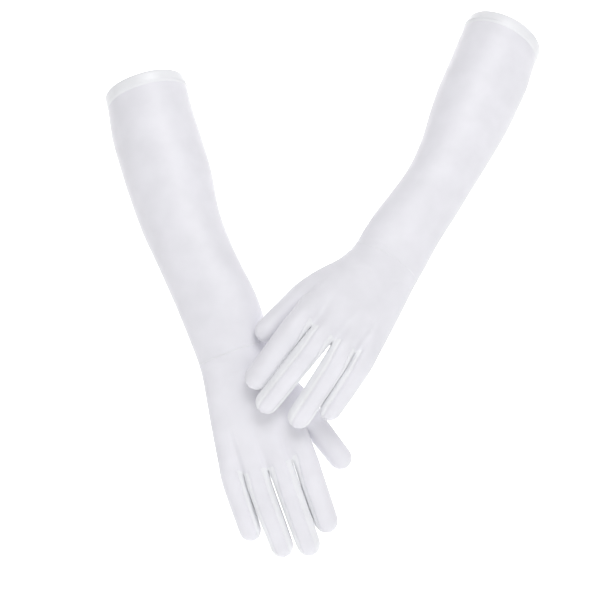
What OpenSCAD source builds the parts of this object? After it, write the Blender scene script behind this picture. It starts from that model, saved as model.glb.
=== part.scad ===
// A pair of elbow-length stretch-satin opera gloves, worn shape, left hand laid over the right.
// Millimetres. +Z is up, -Y faces the viewer of the backs of the hands.
// The origin is the centre of the right glove's arm opening.
// Every cloth panel is a thin shell. Seam threads lie in the slots between the panels.

/* [Cloth] */
// Thickness of the stretch satin
cloth = 0.9; // [0.7:0.1:1.1]
// Half width of the slot that a seam thread lies in
seam_slot = 0.6; // [0.55:0.05:0.8]
// Half width of a seam thread
thread = 0.4; // [0.3:0.05:0.45]
// How far a seam thread stands proud of the cloth
thread_proud = 0.2; // [0.1:0.05:0.3]

/* [Sleeve] */
// Length from the arm opening to the wrist line
sleeve_len = 262; // [250:1:275]
// Bore radius of the arm opening
opening_r = 35.5; // [33:0.5:37]
// Depth of the turned hem
hem_depth = 11; // [8:0.5:14]
// Thickness of the folded hem
hem_wall = 1.6; // [1.2:0.1:2]
// Half depth of the wrist, back to palm
wrist_v = 18.5; // [17:0.5:19]
// Half of the free length that the wrist bends in
wrist_gap = 5.5; // [5.2:0.1:6]

/* [Hand] */
// Distance from the wrist line to the crotches beside the middle finger
palm_len = 103; // [100:0.5:105]
// Spacing of the finger roots
finger_pitch = 22.2; // [22:0.1:22.8]
// Half depth of the hand at the knuckles
knuckle_v = 12; // [11:0.5:13]
// Length of the thumb opening in the side of the hand
thumb_hole_len = 57; // [54:1:59]

/* [Fingers] */
// Index stall, crotch to tip
index_len = 73.5; // [71:0.5:76]
// Middle stall, crotch to tip
middle_len = 83.5; // [81:0.5:86]
// Ring stall, crotch to tip
ring_len = 79; // [77:0.5:82]
// Little stall, crotch to tip
little_len = 62; // [60:0.5:65]
// Thumb stall, end of its gusset to tip
thumb_len = 46; // [43:0.5:48]
// Radius of a finger stall at its root
finger_r = 10.3; // [9.8:0.1:10.4]
// Radius of the thumb stall at its root
thumb_r = 10.4; // [10:0.1:10.8]
// Share of the root radius lost towards a tip
finger_taper = 0.13; // [0.1:0.01:0.2]
// Half of the free length that a finger bends in
finger_gap = 4.6; // [4.5:0.1:5]
// Half of the free length that a thumb bends in
thumb_gap = 2.9; // [2.8:0.1:3.4]

/* [Right arm and hand] */
// Lean of the forearm from vertical, seen from the front
right_arm_lean = 17.1; // [14:0.1:20]
// Lean of the forearm towards the viewer
right_arm_depth = 17; // [14:0.5:20]
// Lean of the hand from vertical, seen from the front
right_hand_lean = 21.8; // [20:0.1:24]
// Lean of the hand towards the viewer
right_hand_depth = 6; // [4:0.5:8]
// Half width of the right sleeve just under its hem
right_upper = 38.5; // [37:0.1:39.5]
// Half width over the thick of the right forearm
right_full = 38.8; // [37.5:0.1:39.5]
// Half width where the right forearm is slimmest
right_mid = 33.5; // [32.5:0.1:35]
// Half width above the right wrist
right_low = 34.9; // [33.5:0.1:35.5]
// Half width of the right wrist
right_wrist = 32.5; // [31:0.1:33]

/* [Left arm and hand] */
// Left arm opening, across from the right one
left_x = 326.6; // [324:0.1:330]
// Left arm opening, behind the right one
left_y = 62; // [60:0.5:63]
// Left arm opening, above the right one
left_z = 53.5; // [50:0.1:56]
// Lean of the forearm from vertical, seen from the front
left_arm_lean = 27.9; // [27:0.1:29]
// Lean of the forearm towards the viewer
left_arm_depth = 23.2; // [22.5:0.1:25]
// Lean of the hand from vertical, seen from the front
left_hand_lean = 36; // [34:0.1:37]
// Lean of the hand towards the viewer
left_hand_depth = 37; // [36:0.5:38]
// Half width of the left sleeve just under its hem
left_upper = 38.2; // [37:0.1:39]
// Half width over the thick of the left forearm
left_full = 36.7; // [35.5:0.1:37.5]
// Half width where the left forearm is slimmest
left_mid = 29; // [28.5:0.1:31]
// Half width above the left wrist
left_low = 31.2; // [30.5:0.1:32]
// Half width of the left wrist
left_wrist = 32.5; // [31.5:0.1:33]

/* [Show] */
// Part to draw

/* [Hidden] */

SATIN = [0.93, 0.93, 0.96];
GLOSS = [0.97, 0.97, 0.99];
THREAD = [0.88, 0.88, 0.92];

// Gloves
RIGHT = 0;
LEFT = 1;
SIDE = [1, -1];

// Digits
INDEX = 0;
MIDDLE = 1;
RING = 2;
LITTLE = 3;
THUMB = 4;

// Angles round a digit: 0 thumb side, 90 back, 180 little side, 270 palm
SEAM_HIGH = 50;
SEAM_LOW = 310;
SIDE_SEAM = 180;
THUMB_SEAM = 165;
SLEEVE_SEAM = 180;

opening = [[0, 0, 0], [left_x, left_y, left_z]];
arm_lean = [right_arm_lean, -left_arm_lean];
arm_depth = [right_arm_depth, left_arm_depth];
hand_lean = [right_hand_lean, -left_hand_lean];
hand_depth = [right_hand_depth, left_hand_depth];
wrist_u = [right_wrist, left_wrist];
// Stations down the sleeve as shares of its length, and the sideways bow of the forearm at each
ARM_AT = [0, 0.1, 0.33, 0.5, 0.65, 0.85, 1];
arm_bow = [[0, -2.9, -2, -3.2, 1, 8.8, 9.5], [0, -3.5, -6, -8.4, -8, -1.5, 0.5]];
WRIST_STATION = 6;

// Frames: thumb side, back and distal directions
function unit(v) = v / norm(v);
function toward(lean, depth) = [sin(lean) * cos(depth), -sin(depth), -cos(lean) * cos(depth)];
function facing(w) = unit([0, -1, 0] + w[1] * w);
function basis(g, w) = [SIDE[g] * cross(facing(w), w), facing(w), w];
function place(o, f, p) = o + p[0] * f[0] + p[1] * f[1] + p[2] * f[2];
arm = [for (g = [0, 1]) basis(g, toward(arm_lean[g], arm_depth[g]))];
hand = [for (g = [0, 1]) basis(g, toward(hand_lean[g], hand_depth[g]))];
wrist = [for (g = [0, 1]) opening[g] + sleeve_len * arm[g][2]];

// Shell between an outer and an inner grid of m rows by n points
function turned(f, flip) = flip ? [for (t = f) [t[0], t[2], t[1]]] : f;
function skin(i, j, n, o) =
  let (a = i * n + j, b = i * n + (j + 1) % n, d = a + n, e = b + n)
  [[a, b, e], [a, e, d], [o + a, o + e, o + b], [o + a, o + d, o + e]];
function edge(a, b, o) = [[a, o + a, o + b], [a, o + b, b]];
function shell_faces(m, n, wrap) =
  let (o = m * n, c = wrap ? n : n - 1, z = (m - 1) * n)
  [
    for (i = [0:m - 2], j = [0:c - 1]) each skin(i, j, n, o),
    for (j = [0:c - 1]) each edge(j, (j + 1) % n, o),
    for (j = [0:c - 1]) each edge(z + (j + 1) % n, z + j, o),
    if (!wrap) for (i = [0:m - 2]) each edge((i + 1) * n, i * n, o),
    if (!wrap) for (i = [0:m - 2]) each edge(i * n + n - 1, (i + 1) * n + n - 1, o)
  ];
module many_shells(pairs, o, f, m, n, flip) {
  points = [for (q = pairs, grid = q, p = grid) place(o, f, p)];
  one = turned(shell_faces(m, n, false), flip);
  faces = [for (k = [0:len(pairs) - 1], t = one) [for (v = t) v + 2 * m * n * k]];
  polyhedron(points, faces, convexity = 8);
}
module shell(outer, inner, m, n, wrap, flip) {
  polyhedron(concat(outer, inner), turned(shell_faces(m, n, wrap), flip), convexity = 8);
}

// Ring: centre, two axes, two half widths
function on_ring(r, a, inset) =
  r[0] + (r[3] - inset) * cos(a) * r[1] + (r[4] - inset) * sin(a) * r[2];
function arc_of(r, mm) = mm / r[3] * 180 / PI;
function strip_row(r, a0, a1, slot, n, inset) =
  let (s = a0 + arc_of(r, slot), e = a1 - arc_of(r, slot))
  [for (k = [0:n - 1]) on_ring(r, s + (e - s) * k / (n - 1), inset)];
function strip(rings, a0, a1, slot, n, inset) =
  [for (r = rings) each strip_row(r, a0, a1, slot, n, inset)];

module cloth_strip(rings, o, f, a0, a1, n, flip) {
  outer = [for (p = strip(rings, a0, a1, seam_slot, n, 0)) place(o, f, p)];
  inner = [for (p = strip(rings, a0, a1, seam_slot, n, cloth)) place(o, f, p)];
  shell(outer, inner, len(rings), n, false, flip);
}
module seam_strip(rings, o, f, a, flip) {
  outer = [for (p = strip(rings, a, a, -thread, 2, -thread_proud)) place(o, f, p)];
  inner = [for (p = strip(rings, a, a, -thread, 2, cloth)) place(o, f, p)];
  shell(outer, inner, len(rings), 2, false, flip);
}

// Sleeve, in the forearm's frame with the opening at 0
hem_room = 0.3;
cuff_len = 1.2;
sleeve_top = hem_depth + hem_room;
sleeve_end = sleeve_len - wrist_gap - cuff_len - hem_room;
SLEEVE_ROWS = 11;
SLEEVE_SIDES = 25;
// How far the forearm has slimmed by the fourth station, and its depth as a share of its width
SLIMMED = 0.72;
ARM_DEEP = [1, 0.97, 0.93, 0.88, 0.84, 0.72];
function outline(upper, full, mid, low, end) =
  [opening_r + cloth, upper, full, full + (mid - full) * SLIMMED, mid, low, end];
arm_u = [
  outline(right_upper, right_full, right_mid, right_low, right_wrist),
  outline(left_upper, left_full, left_mid, left_low, left_wrist)
];
arm_v = [for (g = [0, 1]) [for (k = [0:5]) ARM_DEEP[k] * arm_u[g][k], wrist_v]];
function spread(ys) = [for (k = [0:WRIST_STATION]) [ARM_AT[k], ys[k]]];
// Quadratic blend of the neighbouring values keeps the outline free of corners
function eased(x, t) = (lookup(x - 0.06, t) + 2 * lookup(x, t) + lookup(x + 0.06, t)) / 4;
function width_at(g, x) = eased(x, spread(arm_u[g]));
function depth_at(g, x) = eased(x, spread(arm_v[g]));
function bow_at(g, x) = eased(x, spread(arm_bow[g]));
function sleeve_ring(g, s) =
  let (x = (s - sleeve_top) / (sleeve_end - sleeve_top))
  [[bow_at(g, x), 0, s], [1, 0, 0], [0, 1, 0], width_at(g, x), depth_at(g, x)];
function sleeve_rings(g) =
  [for (k = [0:SLEEVE_ROWS]) sleeve_ring(g, sleeve_top + (sleeve_end - sleeve_top) * k / SLEEVE_ROWS)];

module sleeve(g) {
  seam = SLEEVE_SEAM;
  cloth_strip(sleeve_rings(g), opening[g], arm[g], seam, seam + 360, SLEEVE_SIDES, g == RIGHT);
}
module sleeve_seam(g) {
  seam_strip(sleeve_rings(g), opening[g], arm[g], SLEEVE_SEAM, g == RIGHT);
}
module wrist_seam(g) {
  s = sleeve_end + hem_room;
  end = sleeve_ring(g, sleeve_end);
  rings = [for (k = [0, 1]) concat([[end[0][0], 0, s + k * cuff_len]], [for (q = [1:4]) end[q]])];
  n = SLEEVE_SIDES - 1;
  turn = [for (k = [0:n - 1]) 360 * k / n];
  outer = [for (r = rings, a = turn) place(opening[g], arm[g], on_ring(r, a, -thread_proud))];
  inner = [for (r = rings, a = turn) place(opening[g], arm[g], on_ring(r, a, cloth))];
  shell(outer, inner, 2, n, true, g == RIGHT);
}

// Hem, turned about the forearm
function arm_matrix(g) =
  let (w = arm[g][2], v = arm[g][1], u = cross(v, w), o = opening[g])
  [for (k = [0:2]) [u[k], v[k], w[k], o[k]]];
STITCH_R = 0.35;
module hem(g) {
  multmatrix(arm_matrix(g))
    rotate_extrude($fn = 64)
      translate([opening_r, 0])
        square([hem_wall, hem_depth]);
}
module hem_stitch(g) {
  multmatrix(arm_matrix(g))
    rotate_extrude($fn = 64)
      translate([opening_r + hem_wall + STITCH_R + 0.05, hem_depth - 1.5])
        circle(r = STITCH_R, $fn = 8);
}

// Digits, in the hand's frame with the wrist at 0
middle_u = 10.8;
thumb_root = [51, -11, palm_len - 21];
// The left thumb is tucked under the index stall
thumb_in = [[0, 0, 0], [-5.5, -4.5, 0]];
root = [
  [middle_u + finger_pitch, 0, palm_len - 2.5],
  [middle_u, 1.5, palm_len],
  [middle_u - finger_pitch, 1, palm_len - 2.5],
  [middle_u - 2 * finger_pitch + 2.7, -1.5, palm_len - 8.5],
  thumb_root
];
digit_len = [index_len, middle_len, ring_len, little_len, thumb_len];
digit_r = [finger_r, finger_r, finger_r - 0.2, finger_r - 0.7, thumb_r];
digit_gap = [finger_gap, finger_gap, finger_gap, finger_gap, thumb_gap];
splay = [[-3.3, -2.2, -2.2, -3.6, 16], [1, 3.5, -3.5, -2.7, 8.5]];
curl_root = [[4, 4, 4, 5, 5], [19, 19, 19, 18, 7]];
curl_tip = [[20, 18, 20, 22, 12], [46, 54, 54, 44, 16]];
FLAT = 0.93;
STALL_ROWS = 4;
TIP_STEPS = [0.5, 0.8, 0.95];

function heading(s, f) = [sin(s) * cos(f), -sin(f), cos(s) * cos(f)];
function curl_at(g, i, s) = curl_root[g][i] + (curl_tip[g][i] - curl_root[g][i]) * s / digit_len[i];
function root_at(g, i) = i == THUMB ? root[i] + thumb_in[g] : root[i];
function centre_at(g, i, s) = root_at(g, i) + s * heading(splay[g][i], (curl_root[g][i] + curl_at(g, i, s)) / 2);
function tip_r(i) = digit_r[i] * (1 - finger_taper);
function full_r(i, s) = digit_r[i] * (1 - finger_taper * s / digit_len[i]);
function round_r(i, s) = tip_r(i) * sqrt(max(0, 1 - pow((s - digit_len[i] + tip_r(i)) / tip_r(i), 2)));
function radius_at(i, s) = s > digit_len[i] - tip_r(i) ? round_r(i, s) : full_r(i, s);
function digit_ring(g, i, s) =
  let (w = heading(splay[g][i], curl_at(g, i, s)), v = unit([0, 1, 0] - w[1] * w), r = radius_at(i, s))
  [centre_at(g, i, s), cross(v, w), v, r, FLAT * r];
function stations(i) =
  let (s0 = 2 * digit_gap[i], s1 = digit_len[i] - tip_r(i))
  concat(
    [for (k = [0:STALL_ROWS]) s0 + (s1 - s0) * k / STALL_ROWS],
    [for (t = TIP_STEPS) s1 + t * tip_r(i)]);
function digit_rings(g, i) = [for (s = stations(i)) digit_ring(g, i, s)];

module stall_panel(g, i, a0, a1, n) {
  cloth_strip(digit_rings(g, i), wrist[g], hand[g], a0, a1, n, g == RIGHT);
}
module stall_seams(g, i, angles) {
  rings = digit_rings(g, i);
  pairs = [for (a = angles) [for (inset = [-thread_proud, cloth]) strip(rings, a, a, -thread, 2, inset)]];
  many_shells(pairs, wrist[g], hand[g], len(rings), 2, g == RIGHT);
}

// Hand, in the hand's frame: columns run from the thumb side over the back to the little side
HAND_START = wrist_gap;
lobe = [
  [INDEX, 0], [INDEX, 30], [INDEX, 60], [INDEX, 90], [INDEX, 120], [INDEX, -1],
  [MIDDLE, 60], [MIDDLE, 90], [MIDDLE, 120], [MIDDLE, -1],
  [RING, 60], [RING, 90], [RING, 120], [RING, -1],
  [LITTLE, 60], [LITTLE, 90], [LITTLE, 120], [LITTLE, 150], [LITTLE, 180]
];
LAST = len(lobe) - 1;
VALLEY = 0.45;
function valley(i) = (root[i] + root[i + 1]) / 2;
function rim_u(c) =
  lobe[c][1] < 0 ? valley(lobe[c][0])[0] : root[lobe[c][0]][0] + digit_r[lobe[c][0]] * cos(lobe[c][1]);
function rim_v(c, h) = lobe[c][1] < 0
  ? valley(lobe[c][0])[1] + h * VALLEY * finger_r
  : root[lobe[c][0]][1] + h * FLAT * digit_r[lobe[c][0]] * sin(lobe[c][1]);
function rim_w(c) = lobe[c][1] < 0 ? valley(lobe[c][0])[2] : root[lobe[c][0]][2];
rim_left = rim_u(0);
rim_right = rim_u(LAST);
function turn_at(c) = acos(max(-1, min(1, 2 * (rim_u(c) - rim_right) / (rim_left - rim_right) - 1)));
function smooth(x) = let (y = max(0, min(1, x))) y * y * (3 - 2 * y);
function mixed(a, b, t) = a + (b - a) * t;
// h is 1 on the back and -1 on the palm
function hand_col(g, c, t, h, inset) =
  let (a = turn_at(c), k = smooth((t - 0.5) / 0.5), e = mixed(t, sin(90 * t), (1 + cos(a)) / 2))
  let (n = lobe[c][1] < 0 ? 90 : lobe[c][1])
  let (dir = unit([mixed(cos(a), cos(n), k), mixed(sin(a), sin(n), k)]))
  [
    mixed(arm_bow[g][WRIST_STATION] + wrist_u[g] * cos(a), rim_u(c), e) - inset * dir[0],
    mixed(mixed(wrist_v, knuckle_v, t) * sin(a) * h, rim_v(c, h), k) - inset * dir[1] * h,
    mixed(HAND_START, rim_w(c), t)
  ];
function hand_at(g, c, t, h, inset) =
  let (lo = max(0, min(LAST - 1, floor(c))))
  mixed(hand_col(g, lo, t, h, inset), hand_col(g, lo + 1, t, h, inset), c - lo);

// Thumb opening in the thumb side of the hand, as a share of the hand's length
hole_mid = 0.46;
hole_half = thumb_hole_len / 2 / (palm_len - HAND_START);
hole_steps = [-0.85, -0.6, -0.3, 0, 0.3, 0.6, 0.85];
HOLE_BACK = 1.6;
HOLE_PALM = 5;
FOLD = 0.03;
SIDE_SLOT = 0.12;
hand_rows = concat(
  [0, 0.07, hole_mid - hole_half],
  [for (q = hole_steps) hole_mid + q * hole_half],
  [hole_mid + hole_half, 0.87, 1]);
function hole_at(t, h) =
  let (q = (t - hole_mid) / hole_half)
  (h > 0 ? HOLE_BACK : HOLE_PALM) * sqrt(max(0, 1 - q * q));
function hand_grid(g, h, inset) = [
  for (t = hand_rows)
    let (c0 = max(FOLD, hole_at(t, h)), c1 = LAST - SIDE_SLOT)
    for (k = [0:LAST]) place(wrist[g], hand[g], hand_at(g, c0 + (c1 - c0) * k / LAST, t, h, inset))
];
module hand_panel(g, h) {
  flip = (g == RIGHT) == (h > 0);
  shell(hand_grid(g, h, 0), hand_grid(g, h, cloth), len(hand_rows), LAST + 1, false, flip);
}
SIDE_COLUMN = LAST - SIDE_SLOT * thread / seam_slot;
function side_grid(g, inset) = [
  for (t = hand_rows, h = [1, -1]) place(wrist[g], hand[g], hand_at(g, SIDE_COLUMN, t, h, inset))
];
module side_seam(g) {
  shell(side_grid(g, -thread_proud), side_grid(g, cloth), len(hand_rows), 2, false, g == RIGHT);
}

// Thumb gusset, from the opening's edge to the end of the stall
HOLE_CLEAR = 0.2;
END_CLEAR = 0.94;
GUSSET_ROWS = 3;
THENAR = 4;
function hole_edge(g, q, h) =
  let (t = hole_mid + q * hole_half)
  hand_at(g, max(0, hole_at(t, h) - HOLE_CLEAR), t, h, 0);
gusset_loop = [for (g = [0, 1]) concat(
  [hand_at(g, 0, hole_mid - END_CLEAR * hole_half, 1, 0)],
  [for (q = hole_steps) hole_edge(g, q, 1)],
  [hand_at(g, 0, hole_mid + END_CLEAR * hole_half, 1, 0)],
  [for (k = [len(hole_steps) - 1:-1:0]) hole_edge(g, hole_steps[k], -1)])];
GUSSET_SIDES = len(gusset_loop[0]);
function swell(j, k) =
  let (x = j / GUSSET_ROWS)
  THENAR * 4 * x * (1 - x) * max(0, cos(360 * k / GUSSET_SIDES));
function gusset_point(g, j, k) =
  mixed(gusset_loop[g][k], on_ring(digit_ring(g, THUMB, 0), 360 * k / GUSSET_SIDES, 0), j / GUSSET_ROWS)
  + swell(j, k) * [1, 0, 0];
function gusset_row(g, j) = [for (k = [0:GUSSET_SIDES - 1]) gusset_point(g, j, k)];
function mean(ps) = [for (k = [0:len(ps) - 1]) 1 / len(ps)] * ps;
module thumb_gusset(g) {
  rows = [for (j = [0:GUSSET_ROWS]) gusset_row(g, j)];
  outer = [for (r = rows, p = r) place(wrist[g], hand[g], p)];
  inner = [for (r = rows, p = r) place(wrist[g], hand[g], p + cloth * unit(mean(r) - p))];
  shell(outer, inner, GUSSET_ROWS + 1, GUSSET_SIDES, true, g == RIGHT);
}

// Quirks: saddles between back and palm at the three crotches
QUIRK_HALF = 1.7;
QUIRK_REACH = 3;
QUIRK_SAG = 1.6;
QUIRK_ROWS = 4;
QUIRK_DROP = 0.4;
function quirk_row(m, x, w) =
  [[m[0] + QUIRK_HALF, m[1] + x * QUIRK_REACH, w], [m[0] - QUIRK_HALF, m[1] + x * QUIRK_REACH, w]];
function quirk_grid(i, drop) = [
  for (k = [0:QUIRK_ROWS])
    let (x = 1 - 2 * k / QUIRK_ROWS, m = valley(i))
    each quirk_row(m, x, m[2] - QUIRK_DROP - QUIRK_SAG * (1 - x * x) - drop)
];
module quirks(g) {
  pairs = [for (i = [INDEX:RING]) [quirk_grid(i, 0), quirk_grid(i, cloth)]];
  many_shells(pairs, wrist[g], hand[g], QUIRK_ROWS + 1, 2, g == LEFT);
}

// Sub-parts
module right_sleeve() {
  color(SATIN) sleeve(RIGHT);
}
module right_sleeve_seam() {
  color(THREAD) sleeve_seam(RIGHT);
}
module right_hem() {
  color(GLOSS) hem(RIGHT);
}
module right_hem_stitch() {
  color(THREAD) hem_stitch(RIGHT);
}
module right_wrist_seam() {
  color(THREAD) wrist_seam(RIGHT);
}
module right_hand_back() {
  color(SATIN) hand_panel(RIGHT, 1);
}
module right_hand_palm() {
  color(SATIN) hand_panel(RIGHT, -1);
}
module right_side_seam() {
  color(THREAD) side_seam(RIGHT);
}
module right_thumb_gusset() {
  color(SATIN) thumb_gusset(RIGHT);
}
module right_crotch_quirks() {
  color(GLOSS) quirks(RIGHT);
}
module right_thumb_stall() {
  color(SATIN) stall_panel(RIGHT, THUMB, THUMB_SEAM, THUMB_SEAM + 360, 15);
}
module right_thumb_seam() {
  color(THREAD) stall_seams(RIGHT, THUMB, [THUMB_SEAM]);
}
module right_index_wrap() {
  color(SATIN) stall_panel(RIGHT, INDEX, -130, 130, 12);
}
module right_index_fourchette() {
  color(GLOSS) stall_panel(RIGHT, INDEX, 130, 230, 5);
}
module right_index_seams() {
  color(THREAD) stall_seams(RIGHT, INDEX, [130, 230]);
}
module right_middle_back() {
  color(SATIN) stall_panel(RIGHT, MIDDLE, SEAM_HIGH, 180 - SEAM_HIGH, 5);
}
module right_middle_palm() {
  color(SATIN) stall_panel(RIGHT, MIDDLE, 180 + SEAM_HIGH, SEAM_LOW, 5);
}
module right_middle_fourchette_a() {
  color(GLOSS) stall_panel(RIGHT, MIDDLE, -SEAM_HIGH, SEAM_HIGH, 5);
}
module right_middle_fourchette_b() {
  color(GLOSS) stall_panel(RIGHT, MIDDLE, 180 - SEAM_HIGH, 180 + SEAM_HIGH, 5);
}
module right_middle_seams() {
  color(THREAD) stall_seams(RIGHT, MIDDLE, [SEAM_HIGH, 180 - SEAM_HIGH, 180 + SEAM_HIGH, SEAM_LOW]);
}
module right_ring_back() {
  color(SATIN) stall_panel(RIGHT, RING, SEAM_HIGH, 180 - SEAM_HIGH, 5);
}
module right_ring_palm() {
  color(SATIN) stall_panel(RIGHT, RING, 180 + SEAM_HIGH, SEAM_LOW, 5);
}
module right_ring_fourchette_a() {
  color(GLOSS) stall_panel(RIGHT, RING, -SEAM_HIGH, SEAM_HIGH, 5);
}
module right_ring_fourchette_b() {
  color(GLOSS) stall_panel(RIGHT, RING, 180 - SEAM_HIGH, 180 + SEAM_HIGH, 5);
}
module right_ring_seams() {
  color(THREAD) stall_seams(RIGHT, RING, [SEAM_HIGH, 180 - SEAM_HIGH, 180 + SEAM_HIGH, SEAM_LOW]);
}
module right_little_back() {
  color(SATIN) stall_panel(RIGHT, LITTLE, SEAM_HIGH, SIDE_SEAM, 7);
}
module right_little_palm() {
  color(SATIN) stall_panel(RIGHT, LITTLE, SIDE_SEAM, SEAM_LOW, 7);
}
module right_little_fourchette() {
  color(GLOSS) stall_panel(RIGHT, LITTLE, -SEAM_HIGH, SEAM_HIGH, 5);
}
module right_little_seams() {
  color(THREAD) stall_seams(RIGHT, LITTLE, [SEAM_HIGH, SIDE_SEAM, SEAM_LOW]);
}
module left_sleeve() {
  color(SATIN) sleeve(LEFT);
}
module left_sleeve_seam() {
  color(THREAD) sleeve_seam(LEFT);
}
module left_hem() {
  color(GLOSS) hem(LEFT);
}
module left_hem_stitch() {
  color(THREAD) hem_stitch(LEFT);
}
module left_wrist_seam() {
  color(THREAD) wrist_seam(LEFT);
}
module left_hand_back() {
  color(SATIN) hand_panel(LEFT, 1);
}
module left_hand_palm() {
  color(SATIN) hand_panel(LEFT, -1);
}
module left_side_seam() {
  color(THREAD) side_seam(LEFT);
}
module left_thumb_gusset() {
  color(SATIN) thumb_gusset(LEFT);
}
module left_crotch_quirks() {
  color(GLOSS) quirks(LEFT);
}
module left_thumb_stall() {
  color(SATIN) stall_panel(LEFT, THUMB, THUMB_SEAM, THUMB_SEAM + 360, 15);
}
module left_thumb_seam() {
  color(THREAD) stall_seams(LEFT, THUMB, [THUMB_SEAM]);
}
module left_index_wrap() {
  color(SATIN) stall_panel(LEFT, INDEX, -130, 130, 12);
}
module left_index_fourchette() {
  color(GLOSS) stall_panel(LEFT, INDEX, 130, 230, 5);
}
module left_index_seams() {
  color(THREAD) stall_seams(LEFT, INDEX, [130, 230]);
}
module left_middle_back() {
  color(SATIN) stall_panel(LEFT, MIDDLE, SEAM_HIGH, 180 - SEAM_HIGH, 5);
}
module left_middle_palm() {
  color(SATIN) stall_panel(LEFT, MIDDLE, 180 + SEAM_HIGH, SEAM_LOW, 5);
}
module left_middle_fourchette_a() {
  color(GLOSS) stall_panel(LEFT, MIDDLE, -SEAM_HIGH, SEAM_HIGH, 5);
}
module left_middle_fourchette_b() {
  color(GLOSS) stall_panel(LEFT, MIDDLE, 180 - SEAM_HIGH, 180 + SEAM_HIGH, 5);
}
module left_middle_seams() {
  color(THREAD) stall_seams(LEFT, MIDDLE, [SEAM_HIGH, 180 - SEAM_HIGH, 180 + SEAM_HIGH, SEAM_LOW]);
}
module left_ring_back() {
  color(SATIN) stall_panel(LEFT, RING, SEAM_HIGH, 180 - SEAM_HIGH, 5);
}
module left_ring_palm() {
  color(SATIN) stall_panel(LEFT, RING, 180 + SEAM_HIGH, SEAM_LOW, 5);
}
module left_ring_fourchette_a() {
  color(GLOSS) stall_panel(LEFT, RING, -SEAM_HIGH, SEAM_HIGH, 5);
}
module left_ring_fourchette_b() {
  color(GLOSS) stall_panel(LEFT, RING, 180 - SEAM_HIGH, 180 + SEAM_HIGH, 5);
}
module left_ring_seams() {
  color(THREAD) stall_seams(LEFT, RING, [SEAM_HIGH, 180 - SEAM_HIGH, 180 + SEAM_HIGH, SEAM_LOW]);
}
module left_little_back() {
  color(SATIN) stall_panel(LEFT, LITTLE, SEAM_HIGH, SIDE_SEAM, 7);
}
module left_little_palm() {
  color(SATIN) stall_panel(LEFT, LITTLE, SIDE_SEAM, SEAM_LOW, 7);
}
module left_little_fourchette() {
  color(GLOSS) stall_panel(LEFT, LITTLE, -SEAM_HIGH, SEAM_HIGH, 5);
}
module left_little_seams() {
  color(THREAD) stall_seams(LEFT, LITTLE, [SEAM_HIGH, SIDE_SEAM, SEAM_LOW]);
}

right_sleeve();
right_sleeve_seam();
right_hem();
right_hem_stitch();
right_wrist_seam();
right_hand_back();
right_hand_palm();
right_side_seam();
right_thumb_gusset();
right_crotch_quirks();
right_thumb_stall();
right_thumb_seam();
right_index_wrap();
right_index_fourchette();
right_index_seams();
right_middle_back();
right_middle_palm();
right_middle_fourchette_a();
right_middle_fourchette_b();
right_middle_seams();
right_ring_back();
right_ring_palm();
right_ring_fourchette_a();
right_ring_fourchette_b();
right_ring_seams();
right_little_back();
right_little_palm();
right_little_fourchette();
right_little_seams();
left_sleeve();
left_sleeve_seam();
left_hem();
left_hem_stitch();
left_wrist_seam();
left_hand_back();
left_hand_palm();
left_side_seam();
left_thumb_gusset();
left_crotch_quirks();
left_thumb_stall();
left_thumb_seam();
left_index_wrap();
left_index_fourchette();
left_index_seams();
left_middle_back();
left_middle_palm();
left_middle_fourchette_a();
left_middle_fourchette_b();
left_middle_seams();
left_ring_back();
left_ring_palm();
left_ring_fourchette_a();
left_ring_fourchette_b();
left_ring_seams();
left_little_back();
left_little_palm();
left_little_fourchette();
left_little_seams();
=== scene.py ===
import bpy
import numpy as np
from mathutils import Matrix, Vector, kdtree


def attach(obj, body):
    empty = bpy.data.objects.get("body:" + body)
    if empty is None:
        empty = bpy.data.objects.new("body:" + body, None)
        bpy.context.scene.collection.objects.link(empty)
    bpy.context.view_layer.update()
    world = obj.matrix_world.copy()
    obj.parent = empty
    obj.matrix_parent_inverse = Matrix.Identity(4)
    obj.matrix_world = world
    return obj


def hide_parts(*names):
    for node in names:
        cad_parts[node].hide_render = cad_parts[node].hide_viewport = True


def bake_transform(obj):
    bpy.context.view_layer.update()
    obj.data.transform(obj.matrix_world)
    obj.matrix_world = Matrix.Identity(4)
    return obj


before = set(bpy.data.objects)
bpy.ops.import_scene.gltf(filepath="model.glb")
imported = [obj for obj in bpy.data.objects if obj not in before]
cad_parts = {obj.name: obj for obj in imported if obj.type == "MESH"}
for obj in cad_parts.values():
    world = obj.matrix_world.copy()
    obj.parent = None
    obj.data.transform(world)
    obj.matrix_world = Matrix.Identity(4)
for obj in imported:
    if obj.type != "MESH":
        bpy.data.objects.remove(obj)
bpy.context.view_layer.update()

# ---------------------------------------------------------------- sizes, in metres
MM = 0.001
RIGHT, LEFT = 0, 1
SIDES = ["right", "left"]
DIGITS = ["index", "middle", "ring", "little", "thumb"]
INDEX, MIDDLE, RING, LITTLE, THUMB = range(5)

CLOTH = 0.8 * MM
HEM_WALL = 1.6 * MM
SLEEVE_LEN = 262 * MM
HEM_DEPTH = 11 * MM
OPENING_R = 36.4 * MM
HEM_R = 37.1 * MM
WRIST_V = 18.5 * MM
PALM_LEN = 103 * MM
PITCH = 22.2 * MM
KNUCKLE_V = 12 * MM

# Forearm: half widths, depth as a share of them, and sideways bow, at shares of the sleeve's length
ARM_AT = [0, 0.1, 0.33, 0.5, 0.65, 0.85, 1]
ARM_U = [
    np.array([36.4, 38.5, 38.8, 35, 33.5, 34.9, 32.5]) * MM,
    np.array([36.4, 38.2, 36.7, 31.2, 29, 31.2, 32.5]) * MM,
]
ARM_DEEP = [1, 0.97, 0.93, 0.88, 0.84, 0.72]
ARM_BOW = [
    np.array([0, -2.9, -2, -3.2, 1, 8.8, 9.5]) * MM,
    np.array([0, -3.5, -6, -8.4, -8, -1.5, 0.5]) * MM,
]

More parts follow.
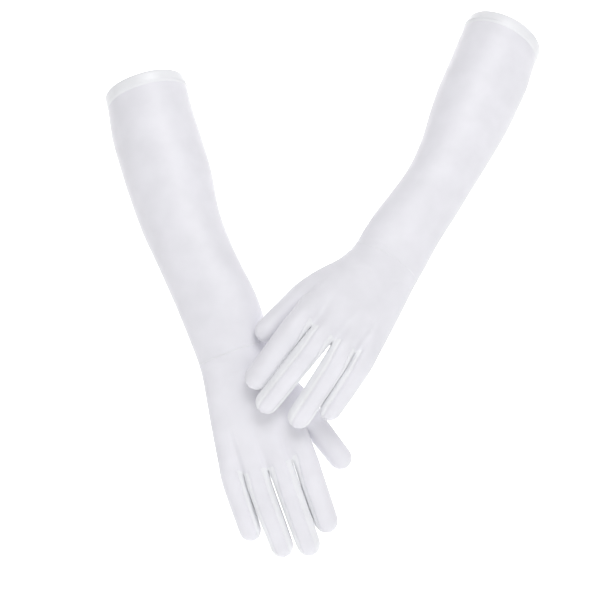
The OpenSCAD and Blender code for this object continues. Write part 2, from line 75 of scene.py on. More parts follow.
OPENING = [np.zeros(3), np.array([326.6, 62, 53.5]) * MM]
ARM_LEAN = [17.1, -27.9]
ARM_DEPTH = [17, 23.2]
HAND_LEAN = [21.8, -36]
HAND_DEPTH = [6, 37]

# Digits: roots, lengths, radii, and how far they lean sideways and curl
FLAT = 0.93
TAPER = [0.08, 0.1]
MIDDLE_U = 10.8 * MM
ROOT = [
    np.array([MIDDLE_U + PITCH, 0, PALM_LEN - 2.5 * MM]),
    np.array([MIDDLE_U, 1.5 * MM, PALM_LEN]),
    np.array([MIDDLE_U - PITCH, 1 * MM, PALM_LEN - 2.5 * MM]),
    np.array([MIDDLE_U - 2 * PITCH + 2.7 * MM, -1.5 * MM, PALM_LEN - 8.5 * MM]),
    np.array([51, -11, 82]) * MM,
]
# The left thumb is tucked under the index stall
THUMB_IN = [np.zeros(3), np.array([-5.5, -4.5, 0]) * MM]
LENGTH = [73.5 * MM, 83.5 * MM, 79 * MM, 62 * MM, 46 * MM]
RADIUS = [11.2 * MM, 11.2 * MM, 11.1 * MM, 10.4 * MM, 10.9 * MM]
SPLAY = [[-3.3, -2.2, -2.2, -3.6, 16], [1, 3.5, -3.5, -2.7, 8.5]]
CURL_ROOT = [[4, 4, 4, 5, 5], [19, 19, 19, 18, 7]]
CURL_TIP = [[20, 18, 20, 22, 12], [46, 54, 54, 44, 16]]
THENAR = 4 * MM


# ---------------------------------------------------------------- frames
def unit(v):
    return v / np.linalg.norm(v)


def toward(lean, depth):
    a, d = np.radians(lean), np.radians(depth)
    return np.array([np.sin(a) * np.cos(d), -np.sin(d), -np.cos(a) * np.cos(d)])


def basis(side, w):
    v = unit(np.array([0, -1, 0]) + w[1] * w)
    return np.array([(1 if side == RIGHT else -1) * np.cross(v, w), v, w])


ARM = [basis(g, toward(ARM_LEAN[g], ARM_DEPTH[g])) for g in (0, 1)]
HAND = [basis(g, toward(HAND_LEAN[g], HAND_DEPTH[g])) for g in (0, 1)]
WRIST = [OPENING[g] + SLEEVE_LEN * ARM[g][2] for g in (0, 1)]


def on_arm(g, p):
    """A point of the forearm's frame, out in the scene."""
    return OPENING[g] + np.asarray(p) @ ARM[g]


def on_hand(g, p):
    """A point of the hand's frame, out in the scene."""
    return WRIST[g] + np.asarray(p) @ HAND[g]


def smooth(x):
    x = np.clip(x, 0, 1)
    return x * x * (3 - 2 * x)


# ---------------------------------------------------------------- digits, in the hand's frame
def heading(s, f):
    """Direction of a digit that leans s sideways and curls f towards the palm."""
    s, f = np.radians(s), np.radians(f)
    return np.array([np.sin(s) * np.cos(f), -np.sin(f), np.cos(s) * np.cos(f)])


def curl_at(g, i, s):
    return CURL_ROOT[g][i] + (CURL_TIP[g][i] - CURL_ROOT[g][i]) * s / LENGTH[i]


def tip_radius(g, i):
    return RADIUS[i] * (1 - TAPER[g])


def radius_at(g, i, s):
    tip = tip_radius(g, i)
    if s > LENGTH[i] - tip:
        return tip * np.sqrt(max(0, 1 - ((s - LENGTH[i] + tip) / tip) ** 2))
    return RADIUS[i] * (1 - TAPER[g] * s / LENGTH[i])


def root_at(g, i):
    return ROOT[i] + THUMB_IN[g] if i == THUMB else ROOT[i]


def digit_centre(g, i, s):
    return root_at(g, i) + s * heading(SPLAY[g][i], (CURL_ROOT[g][i] + curl_at(g, i, s)) / 2)


def digit_point(g, i, s, a):
    w = heading(SPLAY[g][i], curl_at(g, i, s))
    v = unit(np.array([0, 1, 0]) - w[1] * w)
    r, a = radius_at(g, i, s), np.radians(a)
    return digit_centre(g, i, s) + r * np.cos(a) * np.cross(v, w) + FLAT * r * np.sin(a) * v


DIGIT_ROW = 2.6 * MM
TIP_ROWS = [12, 24, 36, 48, 60, 71, 81]


def digit_steps(g, i):
    """How far along a digit its rows lie: even ones, then closer ones round the tip."""
    tip = tip_radius(g, i)
    straight = LENGTH[i] - tip
    out = list(np.linspace(0, straight, int(round(straight / DIGIT_ROW)) + 1))
    return out + [straight + tip * np.sin(np.radians(q)) for q in TIP_ROWS]


# ---------------------------------------------------------------- hand surface
# Columns run from the thumb side over the back to the little side; CROTCH marks the gap after a finger
SEAM = 53
CROTCH = -1
INNER = [37, 45, 53, 65, 78, 90, 102, 115, 127, 135, 143]
ARC = {
    INDEX: [0, 15, 30, 45, 60, 75, 90, 102, 115, 127, 135, 143],
    MIDDLE: INNER,
    RING: INNER,
    LITTLE: [37, 45, 53, 65, 78, 90, 105, 120, 135, 150, 163, 172, 180],
}
LOBE = []
for i in (INDEX, MIDDLE, RING, LITTLE):
    LOBE += [(i, a) for a in ARC[i]]
    if i != LITTLE:
        LOBE.append((i, CROTCH))
LAST = len(LOBE) - 1
COLUMN = {q: c for c, q in enumerate(LOBE)}
# Half height of a crotch, as a share of the finger's radius
VALLEY = 0.42
HAND_START = 5.5 * MM
HAND_FROM = 0.09
# Where the flat oval of the hand starts to turn into the row of finger roots, and how fast
ROOTS_FROM = 0.55
ROOTS_POWER = 1.4


def valley(i):
    return (ROOT[i] + ROOT[i + 1]) / 2


def rim(c, h):
    i, a = LOBE[c]
    if a == CROTCH:
        return valley(i) + np.array([0, h * VALLEY * RADIUS[i], 0])
    a = np.radians(a)
    return ROOT[i] + np.array([RADIUS[i] * np.cos(a), h * FLAT * RADIUS[i] * np.sin(a), 0])


RIM_HI, RIM_LO = rim(0, 1)[0], rim(LAST, 1)[0]


def turn_at(c):
    """The angle round the wrist at which a column starts."""
    return np.arccos(np.clip(2 * (rim(c, 1)[0] - RIM_LO) / (RIM_HI - RIM_LO) - 1, -1, 1))


def hand_point(g, c, t, h):
    """A point of column c, t of the way from wrist to finger roots. h is 1 on the back, -1 on the palm."""
    a, p = turn_at(c), rim(c, h)
    k = smooth((t - ROOTS_FROM) / (1 - ROOTS_FROM)) ** ROOTS_POWER
    e = t + (np.sin(np.pi / 2 * t) - t) * (1 + np.cos(a)) / 2
    depth = WRIST_V + (KNUCKLE_V - WRIST_V) * t
    return np.array([
        (1 - e) * (ARM_BOW[g][-1] + ARM_U[g][-1] * np.cos(a)) + e * p[0],
        (1 - k) * depth * np.sin(a) * h + k * p[1],
        HAND_START + (p[2] - HAND_START) * t,
    ])


# ---------------------------------------------------------------- sleeve surface
EASE = 0.06
LAST_STATION = SLEEVE_LEN - 7 * MM


def eased(x, ys):
    """A value along the forearm, averaged a little both ways so that no station shows as a corner."""
    before, here, after = (np.interp(x + d, ARM_AT, ys) for d in (-EASE, 0, EASE))
    return (before + 2 * here + after) / 4


def sleeve_point(g, s, a):
    """A point of the sleeve, s along it from the opening and at angle a, in the forearm's frame."""
    x = (s - HEM_DEPTH) / (LAST_STATION - HEM_DEPTH)
    deep = np.append(ARM_U[g][:-1] * ARM_DEEP, WRIST_V)
    ru, rv = (OPENING_R, OPENING_R) if x < 0 else (eased(x, ARM_U[g]), eased(x, deep))
    return np.array([ru * np.cos(a) + eased(x, ARM_BOW[g]), rv * np.sin(a), s])


# ---------------------------------------------------------------- one skin a glove
class Skin:
    """Coarse cage of a glove: points, faces, each face's piece, and seam lines as chains of points."""

    def __init__(self):
        self.v, self.f, self.tag, self.soft, self.seams = [], [], [], [], []

    def add(self, p, soft=0.0):
        self.v.append(p)
        self.soft.append(soft)
        return len(self.v) - 1

    def face(self, points, tag):
        self.f.append(list(points))
        self.tag.append(tag)

    def band(self, a, b, tags):
        n = len(a)
        for j in range(n):
            q = (j + 1) % n
            self.face([a[j], a[q], b[q], b[j]], tags[j])


# The hem's rows and how far each swells out, in mm; the rows of the other stretches; the thumb's opening
HEM_ROWS = [0, 0.6, 5.5, 9.6, 10.6, 11.4, 12.4]
HEM_BULGE = [0, 0.7, 0.9, 0.9, 0.55, -0.25, 0]
HEM_LAST = 5
SLEEVE_START = 17 * MM
SLEEVE_ROWS = 34
SLEEVE_END = SLEEVE_LEN - 14 * MM
WRIST_ROWS = 9
WRIST_SOFT = 0.3
HAND_ROWS = 29
HOLE = (0.17, 0.75)
HOLE_BACK, HOLE_PALM = 3, 10
GUSSET_ROWS = 12
QUIRK_ROWS = 1
QUIRK_ANGLE = 30
CROTCH_POINTS = 9
CROTCH_DIP = 1.2 * MM
THUMB_SEAM = 165


# Points round a row: over the back from the thumb side, then under the palm
AROUND = [(c, 1) for c in range(LAST + 1)] + [(c, -1) for c in range(LAST - 1, 0, -1)]
COUNT = len(AROUND)
EVEN = 2 * np.pi * np.arange(COUNT) / COUNT
HAND_TURN = np.array([h * turn_at(c) for c, h in AROUND]) % (2 * np.pi)


def arm_rows(k, g):
    """Rows of points round the hem, then down the sleeve."""
    rows = []
    for s, bulge in zip(HEM_ROWS, HEM_BULGE):
        scale = 1 + bulge * MM / OPENING_R
        rows.append([k.add(on_arm(g, sleeve_point(g, s * MM, q) * [scale, scale, 1])) for q in EVEN])
    for s in np.linspace(SLEEVE_START, SLEEVE_END, SLEEVE_ROWS):
        a = EVEN + (HAND_TURN - EVEN) * smooth(s / SLEEVE_LEN)
        rows.append([k.add(on_arm(g, sleeve_point(g, s, q))) for q in a])
    return rows


def wrist_rows(k, before, grid):
    """Hermite rows that carry the sleeve round the wrist into the hand."""
    p0 = np.array([k.v[j] for j in before[-1]])
    t0 = p0 - np.array([k.v[j] for j in before[-2]])
    p1, t1 = grid[0], grid[1] - grid[0]
    span = np.linalg.norm(p1 - p0, axis=1)[:, None]
    t0 *= span / np.linalg.norm(t0, axis=1)[:, None]
    t1 *= span / np.linalg.norm(t1, axis=1)[:, None]
    rows = []
    for x in np.linspace(0, 1, WRIST_ROWS)[1:-1]:
        row = (2 * x**3 - 3 * x**2 + 1) * p0 + (x**3 - 2 * x**2 + x) * t0
        row += (3 * x**2 - 2 * x**3) * p1 + (x**3 - x**2) * t1
        rows.append([k.add(p, WRIST_SOFT) for p in row])
    return rows


def panel_at(r, j, wrist_row):
    if r < HEM_LAST:
        return "hem"
    if r < wrist_row:
        return "sleeve"
    return "hand_back" if j < LAST else "hand_palm"


def panels(k, rows, wrist_row, r0, r1):
    """Faces of the hem, sleeve, back and palm, with the thumb's opening left out from r0 to r1."""
    for r in range(len(rows) - 1):
        for j in range(COUNT):
            if r0 <= r < r1 and (j < HOLE_BACK or j >= COUNT - HOLE_PALM):
                continue
            q = (j + 1) % COUNT
            k.face([rows[r][j], rows[r][q], rows[r + 1][q], rows[r + 1][j]], panel_at(r, j, wrist_row))
    k.seams.append(("sleeve_seam", [rows[r][LAST] for r in range(HEM_LAST + 1, wrist_row + 1)], False))
    k.seams.append(("wrist_seam", rows[wrist_row], True))
    k.seams.append(("side_seam", [rows[r][LAST] for r in range(wrist_row, len(rows))], False))


def hole_edge(rows, r0, r1):
    """The points round the thumb's opening, in order."""
    edge = [rows[r0][j] for j in range(HOLE_BACK + 1)]
    edge += [rows[r][HOLE_BACK] for r in range(r0 + 1, r1)]
    edge += [rows[r1][j] for j in range(HOLE_BACK, -1, -1)]
    edge += [rows[r1][-j] for j in range(1, HOLE_PALM + 1)]
    edge += [rows[r][-HOLE_PALM] for r in range(r1 - 1, r0, -1)]
    return edge + [rows[r0][-j] for j in range(HOLE_PALM, 0, -1)]


def thumb(k, g, edge):
    """The gusset from the opening's edge, then the stall."""
    base = np.array([k.v[j] for j in edge])
    steps = np.linalg.norm(np.roll(base, -1, axis=0) - base, axis=1)
    angle = 360 * np.append(0, np.cumsum(steps)[:-1]) / steps.sum()
    stall = np.array([on_hand(g, digit_point(g, THUMB, 0, q)) for q in angle])
    swell = THENAR * np.maximum(0, np.cos(np.radians(angle)))[:, None] * HAND[g][0]
    for j in edge:
        k.soft[j] = 0.7
    last = edge
    for x in np.linspace(0, 1, GUSSET_ROWS + 1)[1:]:
        points = base * (1 - x) + stall * x + 4 * x * (1 - x) * swell
        row = [k.add(p, 0.6 * (1 - 0.7 * x)) for p in points]
        k.band(last, row, ["thumb_gusset"] * len(edge))
        last = row
    seam = int(np.argmin(abs(angle - THUMB_SEAM)))
    chain = [last[seam]]
    for s in digit_steps(g, THUMB)[1:]:
        row = [k.add(on_hand(g, digit_point(g, THUMB, s, q))) for q in angle]
        k.band(last, row, ["thumb_stall"] * len(edge))
        last = row
        chain.append(last[seam])
    k.face(last, "thumb_stall")
    k.seams.append(("thumb_seam", chain, False))


def crotches(k, g, top, bottom):
    """The saddle of points across each crotch, from back to palm."""
    out = {}
    for i in (INDEX, MIDDLE, RING):
        c = COLUMN[i, CROTCH]
        a, b = np.array(k.v[top[c]]), np.array(k.v[bottom[c]])
        line = []
        for x in np.linspace(1, -1, CROTCH_POINTS)[1:-1]:
            p = (a + b) / 2 + (a - b) / 2 * x - HAND[g][2] * CROTCH_DIP * (1 - x * x)
            line.append(k.add(p, 0.3))
        out[i] = [top[c], *line, bottom[c]]
        for j in out[i]:
            k.soft[j] = 0.3
    return out


def build_skin(g):
    """The whole glove as one cage, from hem to fingertips."""
    k = Skin()
    rows = arm_rows(k, g)
    ts = np.linspace(HAND_FROM, 1, HAND_ROWS)
    grid = [np.array([on_hand(g, hand_point(g, c, t, h)) for c, h in AROUND]) for t in ts]
    rows += wrist_rows(k, rows, grid)
    wrist_row = len(rows) - WRIST_ROWS // 2
    first = len(rows)
    for t, points in zip(ts, grid):
        rows.append([k.add(p, 0.25 * smooth((t - 0.6) / 0.3)) for p in points])

    hole = [first + r for r, t in enumerate(ts) if HOLE[0] <= t <= HOLE[1]]
    panels(k, rows, wrist_row, hole[0], hole[-1])
    thumb(k, g, hole_edge(rows, hole[0], hole[-1]))

    end = rows[-1]
    top = [end[c] for c in range(LAST + 1)]
    bottom = [end[-c] if c else end[0] for c in range(LAST)] + [end[LAST]]
    crotch = crotches(k, g, top, bottom)
    for i in (INDEX, MIDDLE, RING, LITTLE):
        finger(k, g, i, top, bottom, crotch)
    return k


def part_at(i, a):
    near = a < SEAM or a > 360 - SEAM
    far = 180 - SEAM < a < 180 + SEAM
    if i == INDEX:
        return "index_fourchette" if far else "index_wrap"
    if i == LITTLE:
        return "little_fourchette" if near else "little_back" if a < 180 else "little_palm"
    part = "fourchette_a" if near else "fourchette_b" if far else "back" if a < 180 else "palm"
    return f"{DIGITS[i]}_{part}"


# How far a finger's seams turn about it, at its thumb side and at its little side
ROLL = [(3, 12), (8, 30)]
ROLL_END = 24 * MM
# A finger is round from here on, and its rows are relaxed up to here
ROUND_BY = 13 * MM
SOFT_TO = 12 * MM


def rolled(g, s, a):
    near, far = ROLL[g]
    turn = near + (far - near) * (1 - np.cos(np.radians(a))) / 2
    return a + turn * smooth(s / ROLL_END)


def finger(k, g, i, top, bottom, crotch):
    """One finger's tube, from the hand's edge and its crotches to the tip."""
    ring, angle = [], []
    if i != INDEX:
        ring += crotch[i - 1][::-1]
        angle += list(np.linspace(-29, 29, CROTCH_POINTS))
    ring += [top[COLUMN[i, a]] for a in ARC[i]]
    angle += ARC[i]
    if i != LITTLE:
        ring += crotch[i]
        angle += list(np.linspace(151, 209, CROTCH_POINTS))
    ends = {(LITTLE, 180), (INDEX, 0)}
    under = [a for a in ARC[i][::-1] if (i, a) not in ends]
    ring += [bottom[COLUMN[i, a]] for a in under]
    angle += [360 - a for a in under]
    m = len(ring)
    middle = [(angle[j] + ((angle[(j + 1) % m] - angle[j]) % 360) / 2) % 360 for j in range(m)]
    tags = [part_at(i, a) for a in middle]
    turned = [a % 360 for a in angle]
    lines = {a: [] for a in (SEAM, 180 - SEAM, 180 + SEAM, 360 - SEAM, 180)}
    if i == INDEX:
        lines = {a: [] for a in (180 - SEAM, 180 + SEAM)}
    elif i == LITTLE:
        lines = {a: [] for a in (SEAM, 180, 360 - SEAM)}
    else:
        del lines[180]
    for a in lines:
        lines[a].append(ring[turned.index(a)])
    far = [i != LITTLE and abs(a - 180) < QUIRK_ANGLE for a in middle]
    near = [i != INDEX and min(a, 360 - a) < QUIRK_ANGLE for a in middle]
    quirk = [a or b for a, b in zip(far, near)]
    root = np.array([k.v[j] for j in ring])
    last = ring
    for r, s in enumerate(digit_steps(g, i)[1:]):
        full = np.array([on_hand(g, digit_point(g, i, s, rolled(g, s, q))) for q in angle])
        drift = on_hand(g, digit_centre(g, i, s)) - on_hand(g, ROOT[i])
        y = smooth(s / ROUND_BY)
        soft = 0.25 * (1 - smooth(s / SOFT_TO))
        row = [k.add(p, soft) for p in (root + drift) * (1 - y) + full * y]
        named = ["crotch_quirks" if quirk[j] and r < QUIRK_ROWS else tags[j] for j in range(m)]
        k.band(last, row, named)
        last = row
        for a in lines:
            lines[a].append(last[turned.index(a)])
    k.face(last, "index_wrap" if i == INDEX else DIGITS[i] + "_back")
    for a in lines:
        k.seams.append((f"{DIGITS[i]}_seams", lines[a], False))


def relax(k, turns=14):
    """Pull each soft point towards the mean of its neighbours."""
    v, soft = np.array(k.v), np.array(k.soft)[:, None]
    edges = {tuple(sorted((f[j], f[(j + 1) % len(f)]))) for f in k.f for j in range(len(f))}
    e = np.array(sorted(edges))
    degree = np.maximum(np.bincount(e.ravel(), minlength=len(v)), 1)[:, None]
    for _ in range(turns):
        total = np.zeros_like(v)
        np.add.at(total, e[:, 0], v[e[:, 1]])
        np.add.at(total, e[:, 1], v[e[:, 0]])
        v += soft * (total / degree - v)
    k.v = v


def mesh_of(name, verts, faces):
    me = bpy.data.meshes.new(name)
    me.from_pydata([tuple(p) for p in verts], [], [list(f) for f in faces])
    ob = bpy.data.objects.new(name, me)
    bpy.context.scene.collection.objects.link(ob)
    me.polygons.foreach_set("use_smooth", [True] * len(me.polygons))
    return ob


def fine(k, flip):
    """Subdivide the cage once. The coarse points keep their numbers."""
    ob = mesh_of("cage", k.v, [f[::-1] for f in k.f] if flip else k.f)
    names = sorted(set(k.tag))
    for _ in names:
        ob.data.materials.append(None)
    ob.data.polygons.foreach_set("material_index", [names.index(q) for q in k.tag])
    m = ob.modifiers.new("s", "SUBSURF")
    m.levels = m.render_levels = 1
    me = bpy.data.meshes.new_from_object(ob.evaluated_get(bpy.context.evaluated_depsgraph_get()))
    bpy.data.objects.remove(ob)
    return me, names


def normals_of(me):
    out = np.empty(len(me.vertices) * 3)
    me.vertex_normals.foreach_get("vector", out)
    return out.reshape(-1, 3)


def points_of(me):
    out = np.empty(len(me.vertices) * 3)
    me.vertices.foreach_get("co", out)
    return out.reshape(-1, 3)


def move_to(me, v):
    me.vertices.foreach_set("co", v.ravel())
    me.update()


# ---------------------------------------------------------------- sewing and creases
GROOVE = {"wrist_seam": 0.12, "sleeve_seam": 0.3, "side_seam": 0.35, "thumb_seam": 0.4}
FINGER_GROOVE = 0.5
SEAM_REACH = 7 * MM
PUCKER = 4.6 * MM

# The slow unevenness of the cloth: its size, and its height in mm
UNEVEN_SIZE = 26 * MM
UNEVEN = 0.22

# Soft folds on the back of the wrists: from and to, across and down from the wrist point, and depth
CREASES = [
    [((-20, -14), (8, -6), 0.45), ((-12, 10), (14, 8), 0.25), ((2, -22), (24, -14), 0.2)],
    [((-24, 22), (6, 15), 0.3), ((4, -14), (24, -22), 0.25), ((-30, -2), (-8, -8), 0.2)],
]


def seam_chains(k, me):
    """Each seam's points on the fine mesh: the coarse ones and those between them."""
    links = [set() for _ in me.vertices]
    for e in me.edges:
        a, b = e.vertices
        links[a].add(b)
        links[b].add(a)
    out = []
    for name, chain, closed in k.seams:
        nxt = chain[1:] + ([chain[0]] if closed else [])
        line = []
        for a, b in zip(chain, nxt):
            line += [a, min(links[a] & links[b])]
        out.append((name, line if closed else line + [chain[-1]], closed))
    return out


def sew(me, chains):
    """Press the cloth in along each seam, and let it puff and pucker on both sides."""
    v, nrm = points_of(me), normals_of(me)
    tree = kdtree.KDTree(sum(len(c) for _, c, _ in chains))
    facts = []
    for name, chain, closed in chains:
        depth = GROOVE.get(name, FINGER_GROOVE) * MM
        run = np.append(0, np.cumsum(np.linalg.norm(np.diff(v[chain], axis=0), axis=1)))
        for j, s in zip(chain, run):
            tree.insert(v[j], len(facts))
            facts.append((depth, s))
    tree.balance()
    for j in range(len(v)):
        _, q, d = tree.find(v[j])
        if d > SEAM_REACH:
            continue
        depth, s = facts[q]
        d /= MM
        pucker = 0.16 * np.exp(-(((d - 3) / 1.8) ** 2)) * np.sin(2 * np.pi * s / PUCKER)
        puff = 0.4 * np.exp(-(((d - 2.2) / 1.1) ** 2)) + pucker
        v[j] += nrm[j] * depth * (puff - np.exp(-((d / 0.75) ** 2)))
    move_to(me, v)


def crease(me, g):
    """Soft wrist folds, and a slow unevenness all over."""
    v, nrm = points_of(me), normals_of(me)
    flat = (v - WRIST[g])[:, [0, 2]] / MM
    lift = np.zeros(len(v))
    for a, b, depth in CREASES[g]:
        a, b = np.array(a, float), np.array(b, float)
        d = (b - a) / np.linalg.norm(b - a)
        along = ((flat - a) @ d) / np.linalg.norm(b - a)
        across = (flat - a) @ np.array([-d[1], d[0]]) - 2.5 * np.sin(np.pi * np.clip(along, 0, 1))
        fade = smooth(along * 4) * smooth((1 - along) * 4) * smooth(-nrm[:, 1] * 3)
        lift += depth * fade * (0.6 * np.exp(-(((across - 2.4) / 2) ** 2)) - np.exp(-((across / 1.3) ** 2)))
    x, _, z = (v / UNEVEN_SIZE).T
    across = np.sin(x * 2.1 + 1.3 * np.sin(z * 1.7))
    along = np.sin(z * 1.3 + 0.8 * np.sin(x * 2.3 + g))
    lift += UNEVEN * across * along
    move_to(me, v + nrm * (lift * MM)[:, None])


# ---------------------------------------------------------------- materials
def satin(name, colour, rough, sheen=0.3, grain=0.12, mottle=0.03):
    """A knitted satin: fine wales, tiny pile noise, soft broad tone changes, and a sheen."""
    mat = bpy.data.materials.new(name)
    mat.use_nodes = True
    nt = mat.node_tree
    new, link = nt.nodes.new, nt.links.new
    b = nt.nodes["Principled BSDF"]
    b.inputs["Base Color"].default_value = (*colour, 1)
    b.inputs["Roughness"].default_value = rough
    b.inputs["Sheen Weight"].default_value = sheen
    b.inputs["Sheen Roughness"].default_value = 0.45
    b.inputs["Specular IOR Level"].default_value = 0.4
    at = new("ShaderNodeTexCoord").outputs["Object"]
    broad = new("ShaderNodeTexNoise")
    broad.inputs["Scale"].default_value = 45
    broad.inputs["Detail"].default_value = 2
    tone = new("ShaderNodeValToRGB")
    low = [c * (1 - mottle) for c in colour]
    high = [min(1, c * (1 + mottle)) for c in colour]
    tone.color_ramp.elements[0].position = 0.3
    tone.color_ramp.elements[0].color = (*low, 1)
    tone.color_ramp.elements[1].position = 0.7
    tone.color_ramp.elements[1].color = (*high, 1)
    wales = new("ShaderNodeTexWave")
    wales.wave_type = "BANDS"
    wales.bands_direction = "X"
    wales.inputs["Scale"].default_value = 520
    wales.inputs["Distortion"].default_value = 1.2
    wales.inputs["Detail"].default_value = 1
    pile = new("ShaderNodeTexNoise")
    pile.inputs["Scale"].default_value = 1500
    pile.inputs["Detail"].default_value = 2
    both = new("ShaderNodeMath")
    both.operation = "MULTIPLY_ADD"
    both.inputs[1].default_value = 0.6
    bump = new("ShaderNodeBump")
    bump.inputs["Strength"].default_value = grain
    bump.inputs["Distance"].default_value = 0.00025
    for node in (broad, wales, pile):
        link(at, node.inputs["Vector"])
    link(broad.outputs["Fac"], tone.inputs["Fac"])
    link(tone.outputs["Color"], b.inputs["Base Color"])
    link(wales.outputs["Fac"], both.inputs[0])
    link(pile.outputs["Fac"], both.inputs[2])
    link(both.outputs["Value"], bump.inputs["Height"])
    link(bump.outputs["Normal"], b.inputs["Normal"])
    return mat


SATIN = satin("satin", (0.775, 0.77, 0.815), 0.45)
# A lighter copy of the satin for fourchettes, hem and crotch quirks: its raised base colour is painted
# highlight for the sheen those parts catch; its lower roughness and stronger sheen are shader settings.
PAINTED_HIGHLIGHT_SATIN = satin("bright_satin", (0.815, 0.82, 0.845), 0.3, 0.35)
THREAD = satin("thread", (0.83, 0.83, 0.86), 0.6, 0.1, 0.2)
FINISH = {"satin": SATIN, "bright_satin": PAINTED_HIGHLIGHT_SATIN, "thread": THREAD}


def bodies_of(part):
    """The body a piece rides on, or the two it spans."""
    first = part.split("_")[0]
    if first in ("sleeve", "wrist", "hand", "side"):
        return "arm", "hand"
    if first in ("hem", "crotch") or part == "thumb_gusset":
        return ("arm",) if first == "hem" else ("hand",)
    return "hand", first


def slot_of(part):
    if part.endswith(("seam", "seams", "stitch")):
        return "thread"
    # Fourchettes, hem and crotch quirks take the lighter satin, whose raised base colour is painted
    # highlight.
    return "bright_satin" if "fourchette" in part or part in ("hem", "crotch_quirks") else "satin"


def fit(ob, g, part):
    """Give a piece its finish, hang a one-body piece on its body, and let it stand for its CAD node."""
    side, bodies = SIDES[g], bodies_of(part)
    if len(bodies) == 1:
        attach(ob, f"{side}_{bodies[0]}")
    elif bodies[0] == "arm":
        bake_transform(ob)
    else:
        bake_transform(ob)
    ob.data.materials.append(FINISH[slot_of(part)])
    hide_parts(f"{side}_{part}")


def split(me, names, g):
    """Cut the skin into its cloth pieces, each a closed shell as thick as its cloth."""
    v, nrm = points_of(me), normals_of(me)
    polys = [(p.material_index, list(p.vertices)) for p in me.polygons]
    made = {}
    for q, name in enumerate(names):
        faces = [f for m, f in polys if m == q]
        used = sorted({j for f in faces for j in f})
        new = {j: x for x, j in enumerate(used)}
        n = len(used)
        inner = v[used] - nrm[used] * (HEM_WALL if name == "hem" else CLOTH)
        F = [[new[j] for j in f] for f in faces]
        edges = {(f[j], f[(j + 1) % len(f)]) for f in F for j in range(len(f))}
        border = [[b, a, a + n, b + n] for a, b in sorted(edges) if (b, a) not in edges]
        F += [[j + n for j in f[::-1]] for f in F] + border
        ob = mesh_of(f"{SIDES[g]}_{name}_cloth", np.vstack([v[used], inner]), F)
        normals = np.vstack([nrm[used], -nrm[used]])
        ob.data.normals_split_custom_set_from_vertices([tuple(x) for x in normals])
        made[name] = ob
    return made


THREAD_R = 0.3 * MM
THREAD_SIDES = 6
THREAD_LIFT = 0.1 * MM


def tube(points, normals, closed, r):
    """Rings of a thread that follows points, with its normals."""
    p = np.array(points)
    t = np.roll(p, -1, axis=0) - np.roll(p, 1, axis=0) if closed else np.gradient(p, axis=0)
    t /= np.linalg.norm(t, axis=1)[:, None]
    side = np.cross(t, normals)
    side /= np.linalg.norm(side, axis=1)[:, None]
    up = np.cross(side, t)
    rings = []
    for j in range(THREAD_SIDES):
        a = 2 * np.pi * j / THREAD_SIDES
        rings.append(p + r * (np.cos(a) * side + np.sin(a) * up))
    V = np.array(rings).transpose(1, 0, 2).reshape(-1, 3)
    m, F = len(p), []
    for i in range(m if closed else m - 1):
        for j in range(THREAD_SIDES):
            q, x = (j + 1) % THREAD_SIDES, (i + 1) % m
            here, there = i * THREAD_SIDES, x * THREAD_SIDES
            F.append([here + j, here + q, there + q, there + j])
    if not closed:
        F += [list(range(THREAD_SIDES))[::-1], list(range((m - 1) * THREAD_SIDES, m * THREAD_SIDES))]
    return V, F


def joined(name, tubes):
    """One mesh of several tubes."""
    V, F, n = [], [], 0
    for v, f in tubes:
        V.append(v)
        F += [[j + n for j in q] for q in f]
        n += len(v)
    return mesh_of(name, np.vstack(V), F)


def threads(me, chains, g):
    """The thread in each seam's groove, one mesh for each thread piece."""
    v, nrm = points_of(me), normals_of(me)
    made = {}
    for name, chain, closed in chains:
        p = v[chain] + nrm[chain] * THREAD_LIFT
        made.setdefault(name, []).append(tube(p, nrm[chain], closed, THREAD_R))
    return {name: joined(f"{SIDES[g]}_{name}_thread", tubes) for name, tubes in made.items()}


STITCHES = 68
STITCH_AT = 9 * MM
STITCH_R = 0.24 * MM
STITCH_RUN = np.array([0.16, 0.3, 0.5, 0.7, 0.84])
STITCH_RISE = np.array([-0.1, 0.18, 0.26, 0.18, -0.1]) * MM


def hem_stitches(g):
    """Short raised stitches all round, just above the hem's inner edge."""
    tubes = []
    for j in range(STITCHES):
        a = 2 * np.pi * (j + STITCH_RUN) / STITCHES
        rise = HEM_R + STITCH_RISE
        out = np.array([np.cos(a), np.sin(a), 0 * a]).T
        p = on_arm(g, out * rise[:, None] + [0, 0, STITCH_AT])
        tubes.append(tube(p, out @ ARM[g], False, STITCH_R))
    return joined(f"{SIDES[g]}_hem_stitch_thread", tubes)


for g in (RIGHT, LEFT):
    skin = build_skin(g)
    relax(skin)
    me, names = fine(skin, g == LEFT)
    chains = seam_chains(skin, me)
    crease(me, g)
    sew(me, chains)
    cloths = split(me, names, g)
    lines = threads(me, chains, g)
    lines["hem_stitch"] = hem_stitches(g)
    for part, ob in {**cloths, **lines}.items():
        fit(ob, g, part)
    for part, ob in cloths.items():
        if part == "crotch_quirks":
            continue

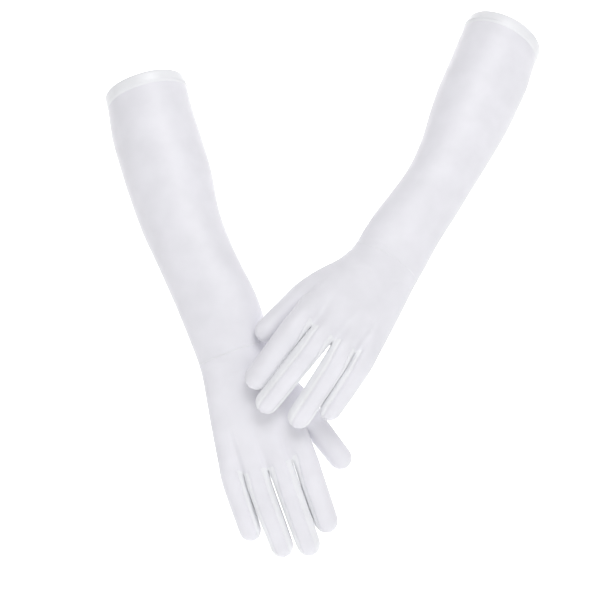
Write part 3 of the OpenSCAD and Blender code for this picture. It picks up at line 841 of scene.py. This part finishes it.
# ---------------------------------------------------------------- stage: a floor that sweeps up into a wall
pale = bpy.data.materials.new("pale")
pale.use_nodes = True
paper = pale.node_tree.nodes["Principled BSDF"]
paper.inputs["Base Color"].default_value = (0.95, 0.95, 0.95, 1)
paper.inputs["Roughness"].default_value = 0.9
paper.inputs["Emission Color"].default_value = (1, 1, 1, 1)
paper.inputs["Emission Strength"].default_value = 0.35

FLOOR, WALL, BEND, REACH = -0.75, 2.6, 1.2, 6
turn = np.linspace(0, np.pi / 2, 24)
profile = [(-REACH, FLOOR)]
profile += [(WALL - BEND + BEND * np.sin(q), FLOOR + BEND * (1 - np.cos(q))) for q in turn]
profile += [(WALL, 5)]
corners = [(x, y, z) for y, z in profile for x in (-REACH, REACH)]
faces = [[2 * j, 2 * j + 1, 2 * j + 3, 2 * j + 2] for j in range(len(profile) - 1)]
sweep = mesh_of("floor_sweep", corners, faces)
sweep.data.materials.append(pale)

world = bpy.data.worlds.new("studio")
bpy.context.scene.world = world
world.use_nodes = True
world.node_tree.nodes["Background"].inputs["Color"].default_value = (1, 1, 1, 1)
world.node_tree.nodes["Background"].inputs["Strength"].default_value = 0.5


def area(name, place_at, target, size, power):
    light = bpy.data.lights.new(name, "AREA")
    light.size = size
    light.energy = power
    ob = bpy.data.objects.new(name, light)
    ob.location = place_at
    ob.rotation_euler = (Vector(target) - Vector(place_at)).to_track_quat("-Z", "Y").to_euler()
    bpy.context.scene.collection.objects.link(ob)


area("key", (0.55, -1.6, 1.35), (0.15, 0, -0.2), 1.2, 21)
area("low", (0.1, -1.3, -1.3), (0.15, -0.05, -0.25), 0.8, 4)
area("back", (0, 1.2, 0.9), (0, 2.6, 0.2), 2.0, 45)

camera = bpy.data.cameras.new("camera")
camera.sensor_width = 36
camera.lens = 36 * 2.0 / 0.522
eye = bpy.data.objects.new("camera", camera)
eye.location = (0.1389, -2.06, -0.1895)
eye.rotation_euler = (np.pi / 2, 0, 0)
bpy.context.scene.collection.objects.link(eye)
bpy.context.scene.camera = eye
bpy.context.scene.view_settings.view_transform = "Standard"
